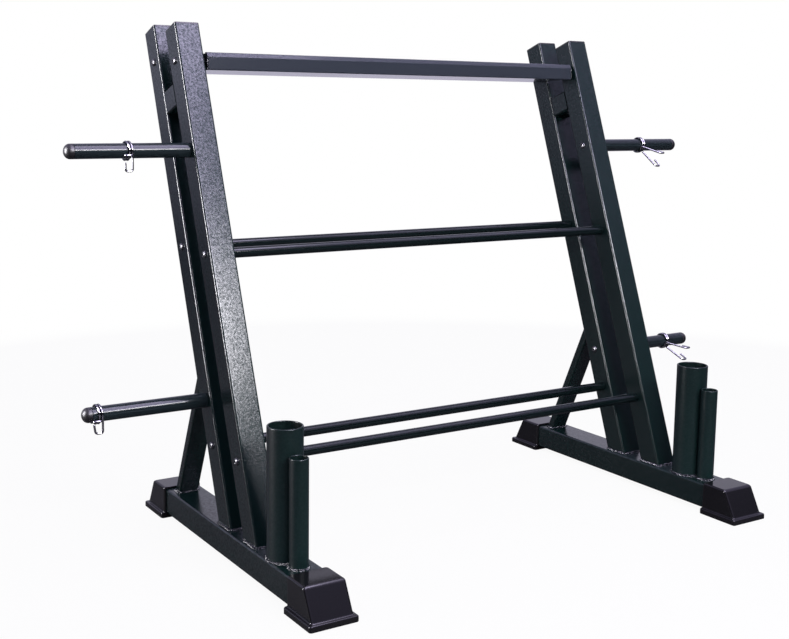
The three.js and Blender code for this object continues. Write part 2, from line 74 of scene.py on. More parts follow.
# Plastic caps in the uprights
CAP_FLANGE = 3.0
CAP_EDGE = 1.1
CAP_EDGE_STEPS = 5
CAP_CORNER_SHARE = 0.5
CAP_PLUG = 12.0

# Feet
FOOT_SLEEVE = 53.0
FOOT_WALL = 4.2
SKIRT_HEIGHT = 11.0
SKIRT_SIDE = 6.4
FOOT_TOE = 33.6
TOE_LEDGE = 6.5
SKIRT_EDGE = 2.6
SKIRT_FILLET = 2.2
FOOT_EDGE = 4.5
SOLE_EDGE = 1.2
SOLE_STEPS = 3
SKIRT_STEPS = 5
FILLET_STEPS = 4
FOOT_EDGE_STEPS = 7
MOUTH_EDGE_SHARE = 0.35

# Round tube, with tapped plugs in the rails and horns, and caps on the horns
BAR_TUBE_WALL = {"large": 3.0, "small": 2.5}
RIM_STEPS = 10
RAIL_PLUG = 22.0
RAIL_BORE = 4.3
END_EDGE = 0.5
END_STEPS = 3
HORN_WALL = 2.0
CAP_STRAIGHT = 5.0
CAP_GROOVE = 0.35
CAP_DOME_STEPS = 12
SPIGOT_EDGE = 1.0

# Button head bolts
HEAD_RADIUS = 7.0
HEAD_HEIGHT = 4.4
HEAD_RIM = 0.9
HEAD_DOME_STEPS = 7
HEAD_DOME_SHARE = 0.62
SHANK_RADIUS = 4.0
SOCKET_FLATS = 5.0
SOCKET_DEPTH = 2.6
SOCKET_EDGE = 0.25
SOCKET_DISH = 0.5

# Tray of folded sheet
SHEET = 2.0
TRAY_LIP = 33.6
TRAY_FLANGE = 12.0
TRAY_SLANT_RISE = 8.6
TRAY_SLANT_RUN = 5.0
TRAY_FOLD_RADIUS = 2.5
FOLD_STEPS = 6
TRAY_TILT = math.radians(1.65)
NUT_FLATS = 13.0
NUT_HEIGHT = 6.5
NUT_EDGE = 0.8
NUT_EDGE_HEIGHT = 0.6

# Welds up the tray's corners. A sway is its rate, its shift and its size.
SEAM_RADIUS = 1.5
SEAM_SIDES = 12
SEAM_STEPS = 40
SEAM_START = 2.2
SEAM_TRIM = 2.8
SEAM_INSET = 0.4
SEAM_STAND = 0.5
SEAM_SWAYS = ((0.9, 0, 0.45), (0.37, 1, 0.3))
SEAM_SIDE_SHARE = 0.3

# Weld beads round tubes. A swell is its waves round the tube, its shift and its size.
BEAD = 3.3
BEAD_RIPPLE = 0.22
BEAD_PITCH = 2.4
BEAD_PITCH_STEPS = 5
BEAD_ARC_STEPS = 6
BEAD_ROUND = 60
BEAD_LAG = 1.4
BEAD_HOLLOW = 0.22
BEAD_SWELLS = ((5, 0, 0.1), (13, 1, 0.08))

# Spring collars. Each has its place along the horn, its wire's first and last angle, the ways of its two
# tails (forward, outward and down), its hooks' length and how far the hooks' ends splay.
WIRE = 4.0
WIRE_PITCH = 5.2
TAIL = 44.0
HOOK_WIDTH = 13.5
HOOK_RETURN = 18.0
WIRE_BEND = 5.0
COIL_STEPS = 60
CAD_COIL_STEPS = 24
WIRE_SIDES = 16
WIRE_DOME = 0.6
DOME_STEPS = 4
BEND_STEPS = 10
COLLARS = {
    "left_upper": {
        "place": 0.5085, "angles": (180, -497), "first": (0, 0, 0.818), "last": (0.977, 0.095, -0.114),
        "hook": 0.83, "splay": 0},
    "left_lower": {
        "place": 0.8814, "angles": (180, -497), "first": (0, 0, 0.705), "last": (0.955, 0.098, -0.273),
        "hook": 0.86, "splay": 0.15},
    "right_upper": {
        "place": 0.517, "angles": (233, -522), "first": (0.614, 0.386, 0.795), "last": (0.955, 0.455, 0.273),
        "hook": 1, "splay": 0},
    "right_lower": {
        "place": 0.695, "angles": (233, -527), "first": (0.818, 0.364, 0.614), "last": (1, 0.5, 0.136),
        "hook": 1, "splay": 0},
}

# Camera, fitted to the photograph
CAMERA_PLACE = (-1384.6, -1886.8, 816.0)
CAMERA_TURN = math.radians(31.42)
CAMERA_TILT = math.radians(8.14)
CAMERA_ROLL = math.radians(0.48)
FOCAL_PIXELS = 1179.14
IMAGE_WIDTH = 789
IMAGE_HEIGHT = 639
CENTRE_PIXEL = (356.0, 278.1)

# Surfaces: the range of the peel's height that the grain of the shine follows, the usual scale of the soft
# patches, the range of convexity in which edges get a painted highlight, and how much paler it paints them
GRAIN_LOW = 0.36
GRAIN_HIGH = 0.64
CLOUD_SCALE = 9.0
EDGE_LOW = 0.52
EDGE_HIGH = 0.6
EDGE_PALER = 1.6

# Studio: a white backdrop stands behind the rack, and the room is dim elsewhere and paler overhead
BACKDROP_WAY = (0.5, 0.86, 0.05)
BACKDROP_EDGE = (0.3, 0.95)
BACKDROP_FALL = 2.0
BACKDROP_COLOUR = (0.84, 0.81, 1.0, 1)
ROOM_RISE = (0.2, 0.6)
ROOM_LOW = (0.04, 0.04, 0.05, 1)
ROOM_HIGH = (0.95, 0.86, 1.35, 1)
ROOM_LIGHT = 0.4
WHITE = (1, 1, 1, 1)
FLOOR_REACH = 40.0
FLOOR_ROUGHNESS = 0.8
FLOOR_FADE = (0.6, 2.4)
FLOOR_BACKDROP_FALL = 4.0
FLOOR_COLOUR = (0.08, 0.08, 0.085, 1)
FLOOR_SEEN_COLOUR = (0.9, 0.9, 0.9, 1)
FLOOR_LIFT = 0.94
CLEAR_TINT = (0.97, 0.95, 1.0)
LAVENDER_TINT = (0.78, 0.7, 1.0)
BLUE_TINT = (0.7, 0.74, 1.0)

SIDES = {"left": -1, "right": 1}


def millimetre_box(node):
    low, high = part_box(node)
    return Vector(low) / MM, Vector(high) / MM


def middle(node):
    low, high = millimetre_box(node)
    return (low + high) / 2


def foot_middle(node):
    """Middle of the underside of a node's box."""
    low, high = millimetre_box(node)
    return Vector(((low.x + high.x) / 2, (low.y + high.y) / 2, low.z))


def end_x(node, way):
    """Where a node's box ends along X, on its high side if the way is positive."""
    low, high = millimetre_box(node)
    return high.x if way > 0 else low.x


def end_middle(node, way):
    """Middle of the face at that end of a node's box."""
    low, high = millimetre_box(node)
    return Vector((end_x(node, way), (low.y + high.y) / 2, (low.z + high.z) / 2))


# Mesh makers

def make_piece(name, points, faces, material, nodes=(), body="rack"):
    """A smooth shaded piece from points in millimetres, riding on a body and standing for the given nodes."""
    mesh = bpy.data.meshes.new(name)
    mesh.from_pydata([Vector(p) * MM for p in points], [], faces)
    mesh.validate()
    mesh.shade_smooth()
    mesh.set_sharp_from_angle(angle=SHARP_ANGLE)
    mesh.materials.append(material)
    piece = bpy.data.objects.new(name, mesh)
    bpy.context.scene.collection.objects.link(piece)
    flatten(piece)
    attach(piece, body)
    if nodes:
        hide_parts(*nodes)
    return piece


def flatten(piece):
    """Keeps wide faces flat to their edges, so that only the narrow faces of a rounded edge shade round."""
    level = piece.modifiers.new("flat faces", "WEIGHTED_NORMAL")
    level.keep_sharp = True


def ring_faces(first, second, count):
    """Quads between two rings of points that start at the given indices."""
    return [(first + i, first + (i + 1) % count, second + (i + 1) % count, second + i) for i in range(count)]


def stacked_faces(rings, count):
    """Faces of a closed solid made of stacked rings of points, each anticlockwise seen from the last one."""
    faces = []
    for row in range(rings - 1):
        faces += ring_faces(row * count, (row + 1) * count, count)
    faces.append(tuple(reversed(range(count))))
    faces.append(tuple(range((rings - 1) * count, rings * count)))
    return faces


def flipped(faces):
    return [tuple(reversed(face)) for face in faces]


def quarter_turns(steps, first=0):
    """Angles at even steps through a quarter turn, from the first step to the last."""
    return [step / steps * QUARTER for step in range(first, steps + 1)]


def rounded_loop(width, depth, corner):
    """Points of a rounded rectangle round the origin, anticlockwise."""
    points = []
    for quarter, (sx, sy) in enumerate([(1, 1), (-1, 1), (-1, -1), (1, -1)]):
        for step in range(CORNER_STEPS + 1):
            angle = (quarter + step / CORNER_STEPS) * QUARTER
            x = sx * (width / 2 - corner) + corner * math.cos(angle)
            y = sy * (depth / 2 - corner) + corner * math.sin(angle)
            points.append((x, y))
    return points


def cut_tube(outer, inner, origin, across, over, low, high):
    """Points and faces of a straight tube of any section, between two cutting planes (point, normal)."""
    along = across.cross(over)
    points = []
    for loop in (outer, inner):
        for place, normal in (low, high):
            for a, b in loop:
                start = origin + across * a + over * b
                reach = (place - start).dot(normal) / along.dot(normal)
                points.append(start + along * reach)
    n = len(outer)
    faces = ring_faces(0, n, n)
    faces += ring_faces(3 * n, 2 * n, n)
    faces += ring_faces(2 * n, 0, n)
    faces += ring_faces(n, 3 * n, n)
    return points, faces


def turned(profile, origin, axis, segments):
    """Points and faces of a profile of (radius, distance) turned round an axis.

    The profile is a closed loop, or starts and ends on the axis. Its outside lies to its right.
    """
    across = axis.orthogonal().normalized()
    over = axis.cross(across)
    points = []
    rings = []
    for radius, reach in profile:
        centre = origin + axis * reach
        if radius == 0:
            rings.append((len(points), 1))
            points.append(centre)
            continue
        rings.append((len(points), segments))
        for i in range(segments):
            angle = TAU * i / segments
            points.append(centre + (across * math.cos(angle) + over * math.sin(angle)) * radius)
    faces = []
    closed = profile[0][0] != 0
    for i in range(len(rings) if closed else len(rings) - 1):
        (a, count_a), (b, count_b) = rings[i], rings[(i + 1) % len(rings)]
        if count_a == 1:
            faces += [(a, b + (k + 1) % segments, b + k) for k in range(segments)]
        elif count_b == 1:
            faces += [(a + k, a + (k + 1) % segments, b) for k in range(segments)]
        else:
            faces += ring_faces(a, b, segments)
    return points, faces


def arc(centre, radius, start, end, steps):
    """Points of (radius, distance) round a centre, between two angles in quarter turns."""
    turns = [(start + (end - start) * i / steps) * QUARTER for i in range(steps + 1)]
    return [(centre[0] + radius * math.cos(t), centre[1] + radius * math.sin(t)) for t in turns]


def swept(line, radius, sides):
    """Points and faces of a round wire along a line of points, with domed ends."""
    points = []
    across = Vector((0, 0, 1))
    first = (line[0] - line[1]).normalized()
    last = (line[-1] - line[-2]).normalized()
    turns = [t * QUARTER / DOME_STEPS for t in range(1, DOME_STEPS)]
    dome = [(math.sin(turn), math.cos(turn)) for turn in turns]
    stations = [(line[0] + first * radius * WIRE_DOME * c, s, -first) for s, c in dome]
    for i, point in enumerate(line):
        along = (line[min(i + 1, len(line) - 1)] - line[max(i - 1, 0)]).normalized()
        stations.append((point, 1, along))
    stations += [(line[-1] + last * radius * WIRE_DOME * c, s, last) for s, c in reversed(dome)]
    for centre, share, along in stations:
        across = across - along * across.dot(along)
        if across.length < 0.1:
            across = along.orthogonal()
        across.normalize()
        over = along.cross(across)
        for k in range(sides):
            angle = TAU * k / sides
            points.append(centre + (across * math.cos(angle) + over * math.sin(angle)) * radius * share)
    return points, stacked_faces(len(stations), sides)


# Node helpers and finishes

def new_group(name, inputs, outputs):
    group = bpy.data.node_groups.new(name, "ShaderNodeTree")
    for title, kind, value in inputs:
        socket = group.interface.new_socket(title, in_out="INPUT", socket_type=kind)
        if value is not None:
            socket.default_value = value
    for title, kind in outputs:
        group.interface.new_socket(title, in_out="OUTPUT", socket_type=kind)
    return group, group.nodes.new("NodeGroupInput"), group.nodes.new("NodeGroupOutput")


def node(tree, kind, settings=None, **links):
    """A new node with plain settings, and its inputs linked or set by name, or as _0 and so on by number."""
    made = tree.nodes.new(kind)
    for key, value in (settings or {}).items():
        setattr(made, key, value)
    for title, value in links.items():
        socket = made.inputs[int(title[1:])] if title[0] == "_" else made.inputs[title.replace("_", " ")]
        if isinstance(value, bpy.types.NodeSocket):
            tree.links.new(value, socket)
        else:
            socket.default_value = value
    return made


def coat_texture_group():
    """Fine orange peel of a sprayed coat: a height, and a mask of soft cloudy patches."""
    group, given, out = new_group(
        "coat texture",
        [("Peel Scale", "NodeSocketFloat", None), ("Cloud Scale", "NodeSocketFloat", CLOUD_SCALE)],
        [("Height", "NodeSocketFloat"), ("Clouds", "NodeSocketFloat")],
    )
    place = node(group, "ShaderNodeTexCoord").outputs["Object"]
    peel = node(group, "ShaderNodeTexNoise", Vector=place, Scale=given.outputs["Peel Scale"], Detail=2.0)
    clouds = node(group, "ShaderNodeTexNoise", Vector=place, Scale=given.outputs["Cloud Scale"], Detail=3.0)
    group.links.new(peel.outputs["Fac"], out.inputs["Height"])
    group.links.new(clouds.outputs["Fac"], out.inputs["Clouds"])
    return group


def edge_group():
    """A mask that rises where the surface is convex, so most of all at its rounded edges and corners, where
    it places a painted highlight.
    """
    group, _, out = new_group("edge mask", [], [("Mask", "NodeSocketFloat")])
    point = node(group, "ShaderNodeNewGeometry").outputs["Pointiness"]
    ramp = node(group, "ShaderNodeMapRange", {"clamp": True}, Value=point, From_Min=EDGE_LOW,
                From_Max=EDGE_HIGH)
    group.links.new(ramp.outputs["Result"], out.inputs["Mask"])
    return group


def start_material(name):
    material = bpy.data.materials.new(name)
    material.use_nodes = True
    tree = material.node_tree
    return material, tree, tree.nodes["Principled BSDF"]


def between(tree, mask, low, high):
    """A value that runs from low to high with a mask."""
    return node(tree, "ShaderNodeMapRange", None, Value=mask, To_Min=low, To_Max=high).outputs["Result"]


def mixed(tree, mask, first, second):
    """A colour that runs from the first to the second with a mask."""
    made = node(tree, "ShaderNodeMix", {"data_type": "RGBA"}, _0=mask, _6=first, _7=second)
    return made.outputs[2]


def joined(tree, kind, first, second):
    """Two values joined by the named operation."""
    return node(tree, "ShaderNodeMath", {"operation": kind}, _0=first, _1=second).outputs[0]


def add_peel(tree, shader, coat, depth):
    """Bumps a surface by the coat's height. The depth is in millimetres."""
    height = coat.outputs["Height"]
    bump = node(tree, "ShaderNodeBump", None, Height=height, Distance=depth * MM, Strength=1.0)
    tree.links.new(bump.outputs["Normal"], shader.inputs["Normal"])


def coated_material(name, deep, pale, roughness, peel_scale, peel_depth, specular):
    """A sprayed or moulded black surface with a fine peel, soft patches, edges painted paler as a highlight,
    and a grained shine.
    """
    material, tree, shader = start_material(name)
    coat = node(tree, "ShaderNodeGroup", {"node_tree": COAT_TEXTURE}, Peel_Scale=peel_scale)
    edges = node(tree, "ShaderNodeGroup", {"node_tree": EDGE_MASK})
    body = mixed(tree, coat.outputs["Clouds"], deep, pale)
    # Edges and corners painted paler: a painted highlight along them
    painted_edge_highlight = mixed(tree, edges.outputs["Mask"], body, [c * EDGE_PALER for c in pale[:3]] + [1])
    tree.links.new(painted_edge_highlight, shader.inputs["Base Color"])
    rough = between(tree, coat.outputs["Clouds"], *roughness)
    tree.links.new(rough, shader.inputs["Roughness"])
    add_peel(tree, shader, coat, peel_depth)
    grain = node(tree, "ShaderNodeMapRange", {"clamp": True}, Value=coat.outputs["Height"],
                 From_Min=GRAIN_LOW, From_Max=GRAIN_HIGH, To_Min=specular[0], To_Max=specular[1])
    tree.links.new(grain.outputs["Result"], shader.inputs["Specular IOR Level"])
    return material


def chrome_material():
    material, tree, shader = start_material("chrome wire")
    coat = node(tree, "ShaderNodeGroup", {"node_tree": COAT_TEXTURE}, Peel_Scale=260.0, Cloud_Scale=60.0)
    colour = mixed(tree, coat.outputs["Clouds"], (0.22, 0.22, 0.23, 1), (0.3, 0.3, 0.31, 1))
    tree.links.new(colour, shader.inputs["Base Color"])
    tree.links.new(between(tree, coat.outputs["Clouds"], 0.04, 0.1), shader.inputs["Roughness"])
    shader.inputs["Metallic"].default_value = 1.0
    shader.inputs["Specular Tint"].default_value = (0.3, 0.3, 0.31, 1)
    add_peel(tree, shader, coat, 0.02)
    return material


def fastener_material():
    material, tree, shader = start_material("black fastener")
    coat = node(tree, "ShaderNodeGroup", {"node_tree": COAT_TEXTURE}, Peel_Scale=1200.0, Cloud_Scale=90.0)
    edges = node(tree, "ShaderNodeGroup", {"node_tree": EDGE_MASK})
    body = mixed(tree, coat.outputs["Clouds"], (0.05, 0.05, 0.055, 1), (0.09, 0.09, 0.095, 1))
    # Edges of the bolts painted paler: a painted highlight along them
    painted_edge_highlight = mixed(tree, edges.outputs["Mask"], body, (0.22, 0.22, 0.23, 1))
    tree.links.new(painted_edge_highlight, shader.inputs["Base Color"])
    tree.links.new(between(tree, coat.outputs["Clouds"], 0.2, 0.34), shader.inputs["Roughness"])
    shader.inputs["Metallic"].default_value = 0.7
    add_peel(tree, shader, coat, 0.03)
    return material


COAT_TEXTURE = coat_texture_group()
EDGE_MASK = edge_group()
POWDER_COAT = coated_material(
    "powder coat", (0.0025, 0.0105, 0.0095, 1), (0.004, 0.0145, 0.013, 1),
    (0.2, 0.26), 260.0, 0.1, (0.15, 0.42))
RAIL_COAT = coated_material(
    "rail coat", (0.004, 0.0095, 0.0095, 1), (0.006, 0.013, 0.013, 1),
    (0.11, 0.17), 260.0, 0.02, (0.19, 0.23))
# A copy of the black coat with a lighter base colour: painted light that stands in for the light brightening
# the horns
HORN_COAT_PAINTED_LIGHTER = coated_material(
    "horn coat painted lighter", (0.016, 0.026, 0.029, 1), (0.021, 0.032, 0.035, 1),
    (0.13, 0.18), 260.0, 0.008, (0.17, 0.2))
# A copy of the black coat with a lighter base colour: painted light that stands in for the light on the bar
# tubes
SOCKET_COAT_PAINTED_LIGHTER = coated_material(
    "bar tube coat painted lighter", (0.0055, 0.0175, 0.016, 1), (0.0075, 0.022, 0.02, 1),
    (0.28, 0.36), 260.0, 0.04, (0.16, 0.22))
# A copy of the black coat with a lighter, bluer base colour: painted light that stands in for the lavender
# light on the tray's face
TRAY_COAT_PAINTED_LIGHTER = coated_material(
    "tray coat painted lighter", (0.029, 0.035, 0.046, 1), (0.04, 0.047, 0.06, 1),
    (0.15, 0.2), 260.0, 0.02, (0.08, 0.14))
WELD_COAT = coated_material(
    "weld coat", (0.004, 0.01, 0.01, 1), (0.008, 0.014, 0.014, 1),
    (0.08, 0.2), 300.0, 1.3, (0.0, 0.6))
FOOT_PLASTIC = coated_material(
    "foot plastic", (0.007, 0.007, 0.008, 1), (0.01, 0.01, 0.011, 1),
    (0.09, 0.12), 1500.0, 0.01, (0.25, 0.31))
CAP_PLASTIC = coated_material(
    "cap plastic", (0.008, 0.008, 0.009, 1), (0.012, 0.012, 0.013, 1),
    (0.36, 0.44), 1500.0, 0.01, (0.34, 0.42))
CHROME = chrome_material()
FASTENER = fastener_material()


# Box section pieces

X_AXIS = Vector((1, 0, 0))
Y_AXIS = Vector((0, 1, 0))
Z_AXIS = Vector((0, 0, 1))
UPRIGHT_ALONG = Vector((0, math.sin(LEAN), math.cos(LEAN)))
UPRIGHT_OVER = Vector((0, math.cos(LEAN), -math.sin(LEAN)))


def square_loops(size, depth, wall):
    outer = rounded_loop(size, depth, TUBE_CORNER)
    inner = rounded_loop(size - 2 * wall, depth - 2 * wall, TUBE_INNER_CORNER)
    return outer, inner


def upright_frame(side, place):
    """Foot of an upright's centre line, its size, and how far its tube runs along it."""
    low, high = millimetre_box(f"{side}_{place}_upright")
    size = high.x - low.x
    foot = Vector(((low.x + high.x) / 2, low.y + size / 2 / math.cos(LEAN), low.z))
    length = (high.z - low.z - size / 2 * math.sin(LEAN)) / math.cos(LEAN)
    return foot, size, length


def upright(side, place):
    foot, size, length = upright_frame(side, place)
    outer, inner = square_loops(size, size, TUBE_WALL)
    top = foot + UPRIGHT_ALONG * length
    points, faces = cut_tube(
        outer, inner, foot, X_AXIS, UPRIGHT_OVER, (foot, Z_AXIS), (top, UPRIGHT_ALONG))
    name = f"{side}_{place}_upright"
    make_piece(name + "_tube", points, faces, POWDER_COAT, [name])


def cap_levels(size):
    """Loops of a square cap, from its plug's end up: (half size, corner radius, height)."""
    plug = size / 2 - TUBE_WALL - FIT_GAP
    levels = [(plug, TUBE_INNER_CORNER, -CAP_PLUG), (plug, TUBE_INNER_CORNER, 0)]
    levels += [(size / 2, TUBE_CORNER, 0), (size / 2, TUBE_CORNER, CAP_FLANGE - CAP_EDGE)]
    for turn in quarter_turns(CAP_EDGE_STEPS, 1):
        inset = CAP_EDGE * (1 - math.cos(turn))
        height = CAP_FLANGE - CAP_EDGE + CAP_EDGE * math.sin(turn)
        levels.append((size / 2 - inset, TUBE_CORNER - inset * CAP_CORNER_SHARE, height))
    return levels


def upright_cap(side, place):
    foot, size, length = upright_frame(side, place)
    base = foot + UPRIGHT_ALONG * (length + FIT_GAP)
    points = []
    levels = cap_levels(size)
    for reach, corner, height in levels:
        for a, b in rounded_loop(2 * reach, 2 * reach, corner):
            points.append(base + X_AXIS * a + UPRIGHT_OVER * b * -1 + UPRIGHT_ALONG * height)
    faces = flipped(stacked_faces(len(levels), LOOP_POINTS))
    name = f"{side}_{place}_upright_cap"
    make_piece(name + "_moulded", points, faces, CAP_PLASTIC, [name])


def base_tube(side):
    low, high = millimetre_box(f"{side}_base_tube")
    centre = (low + high) / 2
    outer, inner = square_loops(high.x - low.x, high.z - low.z, BASE_WALL)
    points, faces = cut_tube(outer, inner, centre, X_AXIS, Z_AXIS * -1, (Vector((0, low.y, 0)), Y_AXIS),
                             (Vector((0, high.y, 0)), Y_AXIS))
    make_piece(f"{side}_base_tube_section", points, faces, POWDER_COAT, [f"{side}_base_tube"])


def brace_frame(side):
    """Middle of the brace's foot, its width and its direction, from its box and its cut."""
    low, high = millimetre_box(f"{side}_rear_brace")
    foot, size, _ = upright_frame(side, "rear")
    back = foot + UPRIGHT_OVER * (size / 2 + FIT_GAP)
    tip_y = back.y + (back.z - high.z) * UPRIGHT_OVER.z / UPRIGHT_OVER.y
    lean = math.atan2(high.y - tip_y, high.z - low.z)
    middle_foot = Vector(((low.x + high.x) / 2, high.y - BRACE_DEPTH / 2 / math.cos(lean), low.z))
    return middle_foot, high.x - low.x, Vector((0, -math.sin(lean), math.cos(lean))), (back, UPRIGHT_OVER)


def rear_brace(side):
    foot, width, along, top = brace_frame(side)
    outer, inner = square_loops(width, BRACE_DEPTH, BRACE_WALL)
    over = along.cross(X_AXIS)
    points, faces = cut_tube(outer, inner, foot, X_AXIS, over, (foot, Z_AXIS), top)
    make_piece(f"{side}_rear_brace_tube", points, faces, POWDER_COAT, [f"{side}_rear_brace"])


def upright_spacer(side):
    low, high = millimetre_box(f"{side}_upright_spacer")
    centre = (low + high) / 2
    width = high.x - low.x
    foot, size, _ = upright_frame(side, "front")
    rear_foot, _, _ = upright_frame(side, "rear")
    length = (rear_foot - foot).dot(UPRIGHT_OVER) - size - 2 * FIT_GAP
    height = (high.z - low.z - length * math.sin(LEAN)) / math.cos(LEAN)
    outer, inner = square_loops(width, height, TUBE_WALL)
    start = centre - UPRIGHT_OVER * length / 2
    end = centre + UPRIGHT_OVER * length / 2
    points, faces = cut_tube(outer, inner, centre, X_AXIS, UPRIGHT_ALONG * -1, (start, UPRIGHT_OVER),
                             (end, UPRIGHT_OVER))
    make_piece(f"{side}_upright_spacer_tube", points, faces, POWDER_COAT, [f"{side}_upright_spacer"])


# Moulded feet

def foot_levels(sleeve_x, top):
    """Level outlines of a foot, from the sole up: (half width, near inset, far reach, corner, height)."""
    sleeve_far = FOOT_SLEEVE + FIT_GAP + FOOT_WALL
    skirt_x = sleeve_x + SKIRT_SIDE
    skirt_far = sleeve_far + FOOT_TOE
    wall_far = skirt_far - TOE_LEDGE
    levels = []
    for turn in quarter_turns(SOLE_STEPS):
        inset = SOLE_EDGE * (1 - math.sin(turn))
        levels.append((skirt_x - inset, 0, skirt_far - inset, FOOT_EDGE, SOLE_EDGE * (1 - math.cos(turn))))
    for turn in quarter_turns(SKIRT_STEPS):
        inset = SKIRT_EDGE * (1 - math.cos(turn))
        height = SKIRT_HEIGHT - SKIRT_EDGE + SKIRT_EDGE * math.sin(turn)
        levels.append((skirt_x - inset, 0, skirt_far - inset, FOOT_EDGE, height))

    def wall(height):
        rise = (height - SKIRT_HEIGHT) / (top - SKIRT_HEIGHT)
        return wall_far + (sleeve_far - wall_far) * rise

    for turn in quarter_turns(FILLET_STEPS):
        spread = SKIRT_FILLET * (1 - math.sin(turn))
        height = SKIRT_HEIGHT + SKIRT_FILLET * (1 - math.cos(turn))
        levels.append((sleeve_x + spread, 0, wall(height) + spread, FOOT_EDGE, height))
    for turn in quarter_turns(FOOT_EDGE_STEPS):
        inset = FOOT_EDGE * (1 - math.cos(turn))
        height = top - FOOT_EDGE + FOOT_EDGE * math.sin(turn)
        near = inset * MOUTH_EDGE_SHARE
        levels.append((sleeve_x - inset, near, wall(height) - inset, FOOT_EDGE, height))
    return levels


def moulded_foot(side, end):
    name = f"{side}_{end}_foot"
    low, high = millimetre_box(name)
    outwards = -1 if end == "front" else 1
    mouth = high.y if outwards < 0 else low.y
    centre_x = (low.x + high.x) / 2
    sleeve_x = (high.x - low.x) / 2 - SKIRT_SIDE
    levels = foot_levels(sleeve_x, high.z)
    points = []
    for half_width, near, far, corner, height in levels:
        for a, b in rounded_loop(2 * half_width, far - near, corner):
            points.append((centre_x + a, mouth + outwards * ((near + far) / 2 + b), height))
    faces = stacked_faces(len(levels), LOOP_POINTS)
    if outwards < 0:
        faces = flipped(faces)
    foot = make_piece(name + "_moulded", points, faces, FOOT_PLASTIC, [name])
    cut_pocket(foot, side, mouth, outwards)


def cut_pocket(foot, side, mouth, outwards):
    """Opens the foot's sleeve for the base tube, a fit gap larger all round."""
    low, high = millimetre_box(f"{side}_base_tube")
    centre = (low + high) / 2
    outline = rounded_loop(high.x - low.x + 2 * FIT_GAP, high.z - low.z + 2 * FIT_GAP, TUBE_CORNER)
    ends = [mouth - outwards * FOOT_EDGE, mouth + outwards * (FOOT_SLEEVE + FIT_GAP)]
    points = [(centre.x + a, y, centre.z + b) for y in ends for a, b in outline]
    faces = stacked_faces(len(ends), LOOP_POINTS)
    if outwards > 0:
        faces = flipped(faces)
    mesh = bpy.data.meshes.new("pocket")
    mesh.from_pydata([Vector(p) * MM for p in points], [], faces)
    cutter = bpy.data.objects.new("pocket", mesh)
    bpy.context.scene.collection.objects.link(cutter)
    cut = foot.modifiers.new("pocket", "BOOLEAN")
    cut.operation = "DIFFERENCE"
    cut.solver = "MANIFOLD"
    cut.object = cutter
    view = bpy.context.evaluated_depsgraph_get()
    made = bpy.data.meshes.new_from_object(foot.evaluated_get(view))
    foot.modifiers.remove(cut)
    old = foot.data
    foot.data = made
    made.shade_smooth()
    made.set_sharp_from_angle(angle=SHARP_ANGLE)
    bpy.data.meshes.remove(old)
    bpy.data.objects.remove(cutter)


# Round tube pieces

def eased_side(outer, length):
    """Profile of a tube's outside, with a rounded edge at both ends."""
    start = arc((outer - END_EDGE, END_EDGE), END_EDGE, -1, 0, END_STEPS)
    return start + arc((outer - END_EDGE, length - END_EDGE), END_EDGE, 0, 1, END_STEPS)


def bar_tube(side, size):
    name = f"{side}_{size}_bar_tube"
    low, high = millimetre_box(name)
    outer = (high.x - low.x) / 2
    wall = BAR_TUBE_WALL[size]
    length = high.z - low.z
    rim = wall / 2
    profile = [(outer, 0)] + arc((outer - rim, length - rim), rim, 0, 2, RIM_STEPS) + [(outer - wall, 0)]
    points, faces = turned(profile, foot_middle(name), Z_AXIS, FINE_ROUND)
    make_piece(name + "_round", points, faces, SOCKET_COAT_PAINTED_LIGHTER, [name])


def rail(level, place):
    name = f"{level}_{place}_rail"
    low, high = millimetre_box(name)
    outer = (high.z - low.z) / 2
    length = high.x - low.x
    profile = [(0, RAIL_PLUG), (RAIL_BORE, RAIL_PLUG), (RAIL_BORE, 0)] + eased_side(outer, length)
    profile += [(RAIL_BORE, length), (RAIL_BORE, length - RAIL_PLUG), (0, length - RAIL_PLUG)]
    points, faces = turned(profile, end_middle(name, -1), X_AXIS, SMALL_ROUND)
    make_piece(name + "_round", points, faces, RAIL_COAT, [name])


def horn(side, tier):
    name = f"{side}_{tier}_horn"
    low, high = millimetre_box(name)
    outer = (high.z - low.z) / 2
    length = high.x - low.x
    out = SIDES[side]
    bore = outer - HORN_WALL
    profile = [(0, RAIL_PLUG), (RAIL_BORE, RAIL_PLUG), (RAIL_BORE, 0)] + eased_side(outer, length)
    profile += [(bore, length), (bore, RAIL_PLUG + END_EDGE), (0, RAIL_PLUG + END_EDGE)]
    points, faces = turned(profile, end_middle(name, -out), X_AXIS * out, SMALL_ROUND)
    make_piece(name + "_tube", points, faces, HORN_COAT_PAINTED_LIGHTER, [name])


def horn_cap(side, tier):
    name = f"{side}_{tier}_horn_cap"
    low, high = millimetre_box(name)
    outer = (high.z - low.z) / 2
    out = SIDES[side]
    seat = end_x(f"{side}_{tier}_horn", out) + out * FIT_GAP
    length = abs(end_x(name, out) - seat)
    spigot = outer - HORN_WALL - FIT_GAP
    depth = high.x - low.x - length
    profile = [(0, -depth), (spigot - SPIGOT_EDGE, -depth), (spigot, SPIGOT_EDGE - depth)]
    profile += [(spigot, 0), (outer - CAP_GROOVE, 0), (outer, CAP_GROOVE)]
    for turn in quarter_turns(CAP_DOME_STEPS):
        radius = outer * math.cos(turn) if turn < QUARTER else 0
        profile.append((radius, CAP_STRAIGHT + (length - CAP_STRAIGHT) * math.sin(turn)))
    start = end_middle(name, out)
    start.x = seat
    points, faces = turned(profile, start, X_AXIS * out, SMALL_ROUND)
    make_piece(name + "_moulded", points, faces, CAP_PLASTIC, [name])


